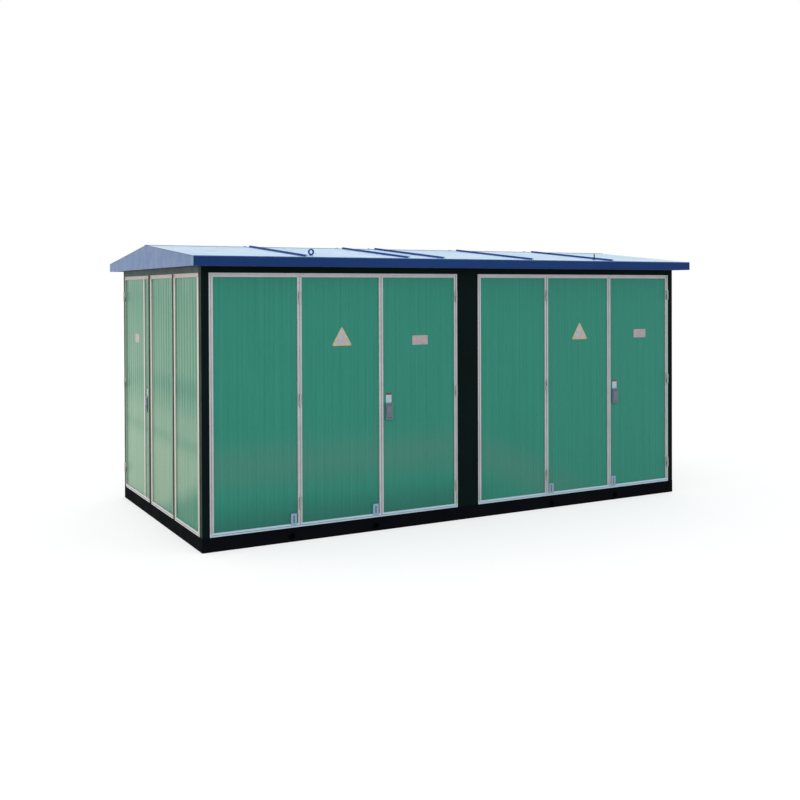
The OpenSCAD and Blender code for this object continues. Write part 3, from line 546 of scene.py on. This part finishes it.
def addTriangle(door, across, up):
    low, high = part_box(door + "_board")
    bm = flatPlate(triangles, plateSizes["thick"], triangles["rim"], plateSizes["dip"], 1)
    reach = triangles["side"] / math.sqrt(3) - 0.03
    for k in range(3):
        angle = math.radians(90 + 120 * k)
        spot = (reach * math.cos(angle), reach * math.sin(angle), plateSizes["thick"])
        addHead(bm, spot, rivetHead, 2)
    bm.transform(ontoWall("front", (boxMiddle(door + "_board").x + across, low.y, up)))
    materials = [plateFinishes["signFace"], plateFinishes["signEdge"], plateFinishes["rivet"]]
    return addPiece(door.replace("door", "sign"), bm, materials, door)


for door, across, up in [("door_b", 0.012, 1.756), ("door_e", 0.025, 1.744)]:
    addTriangle(door, across, up)


def addNamePlate(name, wall, body, point):
    bm = flatPlate(namePlates, plateSizes["thick"], plateSizes["rim"], plateSizes["dip"])
    for sx in [-1, 1]:
        for sy in [-1, 1]:
            spot = (sx * (namePlates["width"] / 2 - plateSizes["rivetIn"]),
                    sy * (namePlates["height"] / 2 - plateSizes["rivetIn"]), plateSizes["thick"] + plateSizes["dip"])
            addHead(bm, spot, smallRivet, 1)
    bm.transform(ontoWall(wall, point))
    return addPiece(name, bm, [plateFinishes["nameFace"], plateFinishes["rivet"]], body)


for door, across in [("door_c", 0.014), ("door_f", 0.025)]:
    low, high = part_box(door + "_board")
    addNamePlate(door.replace("door", "name_plate"), "front", door,
                 (boxMiddle(door + "_board").x + across, low.y, namePlates["middle"]))
low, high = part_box("end_door_board")
addNamePlate("name_plate_end", "left", "end_door", (low.x, low.y + 0.44, namePlates["middle"] - 0.012))


# Label over a lock: a pale sticker with a coloured band along its top, under a dark line
def addLockLabel(name, wall, body, point):
    bm = flatPlate(lockLabels, 0.0008, 0.002, -0.0001)
    for index, share in [(1, lockLabels["band"]), (2, lockLabels["line"])]:
        cut = lockLabels["height"] * (0.5 - share)
        bmesh.ops.bisect_plane(bm, geom=bm.verts[:] + bm.edges[:] + bm.faces[:], plane_co=(0, cut, 0),
                               plane_no=(0, 1, 0))
        for face in bm.faces:
            if face.calc_center_median().y > cut:
                face.material_index = index
    bm.transform(ontoWall(wall, point))
    materials = [plateFinishes["labelFace"], plateFinishes["labelBand"], plateFinishes["labelLine"]]
    return addPiece(name, bm, materials, body)


for door, wall in [("door_c", "front"), ("door_f", "front"), ("end_door", "left")]:
    lockLow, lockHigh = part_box(door + "_lock")
    boardLow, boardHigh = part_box(door + "_board")
    up = lockHigh.z + lockLabels["gap"] + lockLabels["height"] / 2
    if wall == "front":
        point = ((lockLow.x + lockHigh.x) / 2, boardLow.y, up)
    else:
        point = (boardLow.x, (lockLow.y + lockHigh.y) / 2, up)
    addLockLabel(door + "_label", wall, door, point)
print("plates and labels made")


# Small fixings and trims, each on the body that carries it

# A point on the plane of a wall, as a place on the flat drawing that ontoWall turns onto it
def flatSpot(wall, point):
    return (point[0] if wall == "front" else -point[1], point[2], 0.0)


def planeOrigin(wall, plane):
    return (0, plane, 0) if wall == "front" else (plane, 0, 0)


# One mesh of screw heads at points of a wall's plane
def addScrews(name, wall, body, plane, points, head):
    bm = bmesh.new()
    for point in points:
        addHead(bm, flatSpot(wall, point), head, 0)
    bm.transform(ontoWall(wall, planeOrigin(wall, plane)))
    return addPiece(name, bm, [plateFinishes["rivet"]], body)


# Two screws in the flat part of each upper knuckle's wing; the plane lies so far behind the knuckle's front
wingScrews = {"knuckle": 0.05, "ends": 0.012, "fromEdge": 0.0046, "plane": 0.016,
              "head": dict(screwHead, radius=0.0024, tall=0.0012)}


def addHingeScrews(door, wall, wingSide):
    low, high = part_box(door + "_fittings")
    step = (high.z - wingScrews["knuckle"] - low.z) / 2
    levels = [low.z + k * step + up for k in range(3)
              for up in [wingScrews["ends"], wingScrews["knuckle"] - wingScrews["ends"]]]
    if wall == "front":
        x = high.x - wingScrews["fromEdge"] if wingSide > 0 else low.x + wingScrews["fromEdge"]
        plane = low.y + wingScrews["plane"]
        points = [(x, plane, z) for z in levels]
    else:
        plane = low.x + wingScrews["plane"]
        points = [(plane, low.y + wingScrews["fromEdge"], z) for z in levels]
    return addScrews(door + "_hinge_screws", wall, door, plane, points, wingScrews["head"])


for door, wall, wingSide in [("door_b", "front", 1), ("door_c", "front", -1), ("door_e", "front", 1),
                             ("door_f", "front", -1), ("end_door", "left", 1)]:
    addHingeScrews(door, wall, wingSide)

# Screws in the lock's plate, and the key's slot in its cylinder: a dark plate, painted shade for the slot's hollow
lockScrews = {"in": 0.01, "low": 0.012, "high": 0.1445, "plane": 0.009, "keyUp": 0.0546, "keyWide": 0.0016,
              "keyTall": 0.009, "keyThick": 0.0003}


def addLockDetails(door, wall):
    low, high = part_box(door + "_lock")
    levels = [low.z + lockScrews["low"], low.z + lockScrews["high"]]
    if wall == "front":
        front = low.y
        sides = [low.x + lockScrews["in"], high.x - lockScrews["in"]]
        points = [(x, front, z) for x in sides for z in levels]
        keySpot = ((low.x + high.x) / 2, front, low.z + lockScrews["keyUp"])
    else:
        front = low.x
        sides = [low.y + lockScrews["in"], high.y - lockScrews["in"]]
        points = [(front, y, z) for y in sides for z in levels]
        keySpot = (front, (low.y + high.y) / 2, low.z + lockScrews["keyUp"])
    addScrews(door + "_lock_screws", wall, door, front + lockScrews["plane"], points, screwHead)
    bm = flatPlate({"width": lockScrews["keyWide"], "height": lockScrews["keyTall"], "corners": 4,
                    "round": lockScrews["keyWide"] * 0.4}, lockScrews["keyThick"], 0.0002, -0.0001)
    bm.transform(ontoWall(wall, keySpot))
    addPiece(door + "_keyway", bm, [finishes["dark_steel"]], door)


for door, wall in [("door_c", "front"), ("door_f", "front"), ("end_door", "left")]:
    addLockDetails(door, wall)

# Screws at the corners of each foot bolt's plate, and a dark liner at the bottom of its slot; the stud stands
# so far out of the plate, and the slot is so deep
boltScrews = {"in": 0.009, "stud": 0.004, "slotDeep": 0.006, "slotWide": 0.0134, "slotTall": 0.063}
for owner, body in [("panel_a", "housing"), ("door_b", "door_b"), ("door_e", "door_e"), ("door_f", "door_f")]:
    low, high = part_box(owner + "_bolt")
    plane = low.y + boltScrews["stud"]
    points = [(x, plane, z) for x in [low.x + boltScrews["in"], high.x - boltScrews["in"]]
              for z in [low.z + boltScrews["in"], high.z - boltScrews["in"]]]
    addScrews(owner + "_bolt_screws", "front", body, plane, points, screwHead)
    bm = flatPlate({"width": boltScrews["slotWide"], "height": boltScrews["slotTall"], "corners": 4,
                    "round": 0.001}, 0.0005, 0.0005, -0.0002)
    bm.transform(ontoWall("front", ((low.x + high.x) / 2, plane + boltScrews["slotDeep"], (low.z + high.z) / 2)))
    addPiece(owner + "_bolt_liner", bm, [finishes["lock_grey"]], body)

# Rubber seal on the stops round each opening leaf: a ring with a rounded face, behind the leaf's flange
sealRing = {"in": 0.0006, "wide": 0.0048, "thick": 0.0025, "round": 0.0011}
rubber = {"paint": (0.4, 0.395, 0.39, 1), "paintPale": (0.46, 0.455, 0.45, 1), "bare": (0.4, 0.4, 0.4, 1),
          "dustColour": (0.3, 0.29, 0.27, 1), "gloss": 0.3, "corner": 0.001, "wear": 0.2, "dustHeight": 0.6,
          "dust": 0.3, "streaks": 0.2, "rough": 0.6, "waveSize": 60.0, "waveDepth": 0.0002}
rubberFinish = paintedFinish(rubber, "sealRubber")


def addSeal(door, wall):
    low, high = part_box(door + "_frame")
    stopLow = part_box("front_stops" if wall == "front" else "end_stops")[0]
    if wall == "front":
        wide, middle, plane = high.x - low.x, (low.x + high.x) / 2, stopLow.y
    else:
        wide, middle, plane = high.y - low.y, -(low.y + high.y) / 2, stopLow.x
    bm = bmesh.new()
    bmesh.ops.create_grid(bm, x_segments=1, y_segments=1, size=0.5)
    bmesh.ops.scale(bm, vec=(wide - 2 * sealRing["in"], high.z - low.z - 2 * sealRing["in"], 1), verts=bm.verts[:])
    inner = bm.faces[:]
    ring = bmesh.ops.inset_region(bm, faces=inner, thickness=sealRing["wide"], depth=0.0,
                                  use_boundary=True)["faces"]
    bmesh.ops.delete(bm, geom=inner, context="FACES")
    top = raiseOutline(bm, ring, sealRing["thick"])
    topEdges = [edge for face in top for edge in face.edges if sum(f in top for f in edge.link_faces) == 1]
    bmesh.ops.bevel(bm, geom=topEdges, offset=sealRing["round"], offset_type="OFFSET", segments=3, profile=0.5,
                    affect="EDGES", material=-1)
    bmesh.ops.translate(bm, vec=(middle, (low.z + high.z) / 2, 0), verts=bm.verts[:])
    bm.transform(ontoWall(wall, planeOrigin(wall, plane)))
    return addPiece(door + "_seal", bm, [rubberFinish], "housing")


for door, wall in [("door_b", "front"), ("door_c", "front"), ("door_e", "front"), ("door_f", "front"),
                   ("end_door", "left")]:
    addSeal(door, wall)

# Pale bead along each eave and end caps on the seams, painted pale cyan as painted highlights, and rivets along the
# ridge cap
roofTrim = {"sheet": 0.006, "bead": 0.0042, "beadTall": 0.003, "capWide": 0.018, "capDeep": 0.0045,
            "capTall": 0.015, "capIn": 0.0047, "whole": 1.01, "narrow": 0.375, "rivetStep": 0.3,
            "rivetIn": 0.012, "capThick": 0.0033}
roofLow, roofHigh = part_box("roof_front")
capLow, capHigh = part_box("ridge_cap")
eaveTop = roofLow.z + roofTrim["sheet"]
roofSlope = (roofHigh.z - eaveTop) / (roofHigh.y - roofLow.y)
trimHighlight = {"paint": (0.22, 0.5, 0.56, 1), "paintPale": (0.3, 0.58, 0.62, 1), "bare": (0.7, 0.75, 0.78, 1),
            "dustColour": (0.5, 0.52, 0.5, 1), "gloss": 0.4, "corner": 0.001, "wear": 0.4, "dustHeight": 0.3,
            "dust": 0.2, "streaks": 0.3, "rough": 0.4, "waveSize": 20.0, "waveDepth": 0.0004}
trimHighlightFinish = paintedFinish(trimHighlight, "eaveHighlight")


# Height of the roof sheet's top at a distance from the eave
def sheetTop(fromEave):
    return eaveTop + fromEave * roofSlope


# A block with its upper edges rounded, standing on the front slope at the eave
def addBlock(bm, middle, size, rounding):
    made = bmesh.ops.create_cube(bm, size=1.0)["verts"]
    bmesh.ops.scale(bm, vec=size, verts=made)
    bmesh.ops.translate(bm, vec=middle, verts=made)
    upper = [edge for vert in made for edge in vert.link_edges
             if all(v.co.z > middle[2] for v in edge.verts)]
    bmesh.ops.bevel(bm, geom=list(set(upper)), offset=rounding, offset_type="OFFSET", segments=3, profile=0.5,
                    affect="EDGES", material=-1)


# A piece of the front, and its copy turned half a circle for the rear
def addBothSides(name, build, materials):
    for side, angle in [("front", 0.0), ("rear", math.pi)]:
        bm = bmesh.new()
        build(bm)
        bmesh.ops.rotate(bm, cent=(0, 0, 0), matrix=Matrix.Rotation(angle, 3, "Z"), verts=bm.verts[:])
        addPiece(name + "_" + side, bm, materials, "housing")


def eaveBead(bm):
    middle = (0.0, roofLow.y + roofTrim["bead"] / 2, eaveTop + roofTrim["beadTall"] / 2)
    addBlock(bm, middle, (roofHigh.x - roofLow.x, roofTrim["bead"], roofTrim["beadTall"]), 0.0012)


def seamCaps(bm):
    for k in range(5):
        x = roofLow.x + (k + 1) * roofTrim["whole"] - (roofTrim["whole"] - roofTrim["narrow"]) * (k >= 2)
        base = sheetTop(roofTrim["capIn"])
        middle = (x, roofLow.y + roofTrim["capIn"] + roofTrim["capDeep"] / 2, base + roofTrim["capTall"] / 2)
        addBlock(bm, middle, (roofTrim["capWide"], roofTrim["capDeep"], roofTrim["capTall"]), 0.0016)


# Heads along a line of the front slope at a distance from the eave
def headLine(bm, fromEave, rise, step, head):
    count = int((roofHigh.x - roofLow.x - step) / step)
    tilt = Matrix.Rotation(math.atan(roofSlope), 3, "X")
    for k in range(count + 1):
        x = (k - count / 2) * step
        before = set(bm.verts)
        addHead(bm, (0, 0, 0), head, 0)
        made = list(set(bm.verts) - before)
        bmesh.ops.rotate(bm, cent=(0, 0, 0), matrix=tilt, verts=made)
        bmesh.ops.translate(bm, vec=(x, roofLow.y + fromEave, sheetTop(fromEave) + rise), verts=made)


def ridgeRivets(bm):
    fromEave = -roofLow.y + capLow.y + roofTrim["rivetIn"]
    headLine(bm, fromEave, roofTrim["capThick"], roofTrim["rivetStep"], rivetHead)


# Ends of the lifting sleeves that cross the base, closed by near-black discs: painted shade for the hollow of each
# sleeve
sleeves = {"radius": 0.035, "proud": 0.004, "wall": 0.006, "dish": 0.0036, "height": 0.047,
           "places": [-1.819, -0.994, 0.994, 1.819], "sides": 40}
sleeveShade = paintedFinish(dict(baseSteel, paint=(0.0006, 0.0006, 0.0008, 1), paintPale=(0.001, 0.001, 0.0012, 1),
                                gloss=0.0), "sleeveShade")
baseLow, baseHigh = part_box("base_frame")


def liftSleeves(bm):
    for x in sleeves["places"]:
        made = bmesh.ops.create_circle(bm, cap_ends=True, radius=sleeves["radius"], segments=sleeves["sides"])["verts"]
        top = raiseOutline(bm, [made[0].link_faces[0]], sleeves["proud"])
        bmesh.ops.inset_region(bm, faces=top, thickness=sleeves["wall"], depth=0.0)
        bmesh.ops.inset_region(bm, faces=top, thickness=0.0006, depth=-sleeves["dish"])
        top[0].material_index = 1
        whole = list({v for face in bm.faces for v in face.verts if abs(v.co.z) < 0.01 and v.co.y > baseLow.y / 2})
        bmesh.ops.transform(bm, matrix=ontoWall("front", (x, baseLow.y, sleeves["height"])), verts=whole)


addBothSides("eave_bead", eaveBead, [trimHighlightFinish])
addBothSides("seam_caps", seamCaps, [trimHighlightFinish])
addBothSides("ridge_rivets", ridgeRivets, [plateFinishes["rivet"]])
addBothSides("lift_sleeves", liftSleeves, [ownFinishes["base_frame"], sleeveShade])
print("fixings and trims made")


# Studio: a pale floor, a pale surround, one broad lamp from the left rear and a soft fill

def litWhite(tree, shown, hidden):
    rays = place(tree, "LightPath").outputs
    seen = calc(tree, "MAXIMUM", rays["Is Camera Ray"], rays["Is Glossy Ray"])
    seen = calc(tree, "MAXIMUM", seen, rays["Is Transmission Ray"])
    return place(tree, "MixShader", {0: seen, 1: hidden, 2: shown}).outputs[0]


studio = {"floor": 60.0, "floorColour": (0.8, 0.8, 0.8, 1), "world": 0.95, "glow": 0.57,
          "key": 170.0, "fill": 90.0}
world = bpy.data.worlds.new("studioWorld")
scene.world = world
world.use_nodes = True
worldTree = world.node_tree
worldTree.nodes.clear()
whiteSky = place(worldTree, "Background", {"Color": (1, 1, 1, 1), "Strength": 1.0}).outputs[0]
softSky = place(worldTree, "Background", {"Color": (0.97, 0.98, 1.0, 1), "Strength": studio["world"]}).outputs[0]
place(worldTree, "OutputWorld", {"Surface": litWhite(worldTree, whiteSky, softSky)})

floorMaterial = bpy.data.materials.new("paleFloor")
floorMaterial.use_nodes = True
floorTree = floorMaterial.node_tree
floorTree.nodes.clear()
matt = place(floorTree, "BsdfDiffuse", {"Color": studio["floorColour"]}).outputs[0]
half = place(floorTree, "BsdfDiffuse", {"Color": (0.5, 0.5, 0.5, 1)}).outputs[0]
glow = place(floorTree, "Emission", {"Color": (1, 1, 1, 1), "Strength": studio["glow"]}).outputs[0]
shown = place(floorTree, "AddShader", {0: half, 1: glow}).outputs[0]
place(floorTree, "OutputMaterial", {"Surface": litWhite(floorTree, shown, matt)})
bm = bmesh.new()
bmesh.ops.create_grid(bm, x_segments=1, y_segments=1, size=studio["floor"])
floorMesh = bpy.data.meshes.new("floor")
bm.to_mesh(floorMesh)
bm.free()
floorMesh.materials.append(floorMaterial)
floor = bpy.data.objects.new("floor", floorMesh)
scene.collection.objects.link(floor)


def addLamp(name, spot, target, size, power, colour):
    lamp = bpy.data.lights.new(name, "AREA")
    lamp.shape = "RECTANGLE"
    lamp.size = size[0]
    lamp.size_y = size[1]
    lamp.energy = power
    lamp.color = colour
    holder = bpy.data.objects.new(name, lamp)
    toTarget = Vector(target) - Vector(spot)
    holder.matrix_world = Matrix.Translation(spot) @ toTarget.to_track_quat("-Z", "Y").to_matrix().to_4x4()
    holder.visible_camera = False
    scene.collection.objects.link(holder)
    return holder


addLamp("keyLamp", (-9.0, 4.0, 1.6), (-2.6, 0.0, 1.2), (6.0, 3.0), studio["key"], (1.0, 0.93, 0.78))
addLamp("fillLamp", (-3.0, -9.0, 5.0), (-0.8, 0.0, 1.2), (8.0, 4.0), studio["fill"], (0.95, 0.98, 1.0))


# Camera at the photograph's place, fitted to the housing's corners
view = {"place": (-5.218, -9.490, 2.189), "yaw": 28.78, "pitch": -0.52, "roll": -0.20, "focal": 1009.6,
        "axisRow": 299.8, "picture": 800.0, "sensor": 36.0}
camera = bpy.data.cameras.new("camera")
camera.sensor_width = view["sensor"]
camera.lens = view["focal"] * view["sensor"] / view["picture"]
camera.shift_y = (view["axisRow"] - view["picture"] / 2) / view["picture"]
camera.clip_end = 500
eye = bpy.data.objects.new("camera", camera)
turn = Matrix.Rotation(math.radians(-view["yaw"]), 4, "Z")
tilt = Matrix.Rotation(math.radians(90 + view["pitch"]), 4, "X")
lean = Matrix.Rotation(math.radians(view["roll"]), 4, "Z")
eye.matrix_world = Matrix.Translation(view["place"]) @ turn @ tilt @ lean
scene.collection.objects.link(eye)
scene.camera = eye
print("studio and camera set")
